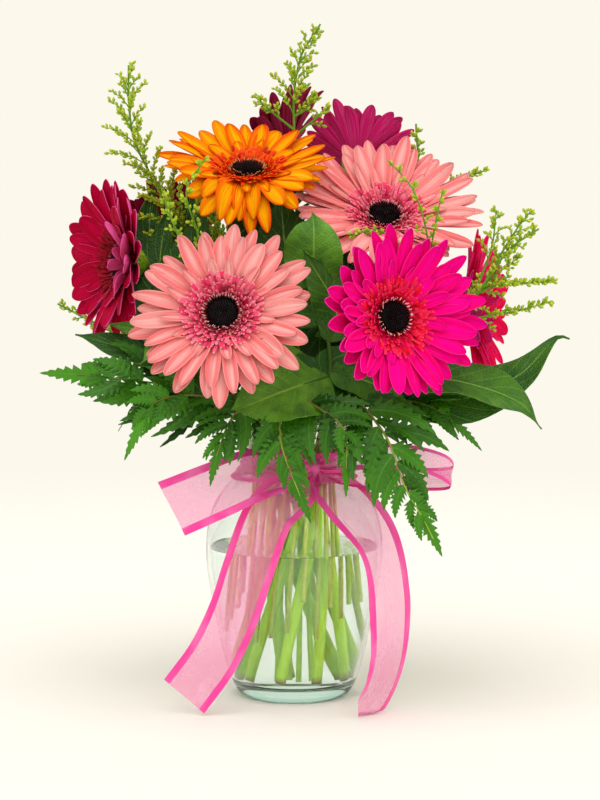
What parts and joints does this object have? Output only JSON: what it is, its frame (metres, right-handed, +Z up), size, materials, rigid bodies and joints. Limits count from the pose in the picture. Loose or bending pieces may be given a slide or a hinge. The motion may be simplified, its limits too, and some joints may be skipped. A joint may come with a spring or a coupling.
{
  "type": "gerberas in a vase",
  "caption": "Bouquet of gerberas with fern, broad leaves and bud sprays, standing in a water-filled flared glass vase tied with a sheer ribbon bow.",
  "frame": {"origin": "centre of the vase's flat foot, on the surface that it stands on", "axes": "+Z up, -Y towards the side that the two largest front flowers look to, +X to the viewer's right"},
  "size_m": [0.356, 0.2746, 0.4504],
  "materials": {
    "vase_glass": "clear pressed glass, faintly green in its thick foot",
    "water": "clear water",
    "ribbon": "sheer organza with satin edges",
    "petal_salmon": "soft matt petal",
    "petal_hot_magenta": "soft matt petal",
    "petal_orange": "soft matt petal",
    "petal_crimson": "soft matt petal",
    "petal_rose_red": "soft matt petal",
    "petal_wine": "soft matt petal",
    "petal_dark_magenta": "soft matt petal",
    "eye_dark": "velvety packed florets",
    "eye_brown": "velvety packed florets",
    "flower_stem": "satin green stem",
    "salal_leaf": "waxy leaf",
    "fern_frond": "leathery leaflet",
    "solidago_bud": "matt buds"
  },
  "bodies": {
    "root": {"eye_crimson_left": "eye_dark", "eye_magenta_back": "eye_dark", "eye_magenta_front": "eye_dark", "eye_orange_top": "eye_brown", "eye_pink_front": "eye_dark", "eye_pink_right": "eye_dark", "eye_red_back": "eye_dark", "eye_red_right": "eye_dark", "eye_wine_back": "eye_dark", "fern_back": "fern_frond", "fern_back_left": "fern_frond", "fern_back_right": "fern_frond", "fern_front": "fern_frond", "fern_front_left": "fern_frond", "fern_front_right": "fern_frond", "fern_left": "fern_frond", "fern_left_low": "fern_frond", "fern_right": "fern_frond", "fern_right_low": "fern_frond", "rays_crimson_left": "petal_crimson", "rays_magenta_back": "petal_dark_magenta", "rays_magenta_front": "petal_hot_magenta", "rays_orange_top": "petal_orange", "rays_pink_front": "petal_salmon", "rays_pink_right": "petal_salmon", "rays_red_back": "petal_crimson", "rays_red_right": "petal_rose_red", "rays_wine_back": "petal_wine", "ribbon_bow": "ribbon", "salal_back": "salal_leaf", "salal_back_right": "salal_leaf", "salal_front": "salal_leaf", "salal_left": "salal_leaf", "salal_right": "salal_leaf", "solidago_back": "solidago_bud", "solidago_back_right": "solidago_bud", "solidago_front_left": "solidago_bud", "solidago_left": "solidago_bud", "solidago_low_left": "solidago_bud", "solidago_right": "solidago_bud", "solidago_top": "solidago_bud", "stem_crimson_left": "flower_stem", "stem_magenta_back": "flower_stem", "stem_magenta_front": "flower_stem", "stem_orange_top": "flower_stem", "stem_pink_front": "flower_stem", "stem_pink_right": "flower_stem", "stem_red_back": "flower_stem", "stem_red_right": "flower_stem", "stem_wine_back": "flower_stem", "vase": "vase_glass", "water": "water"}
  },
  "joints": []
}
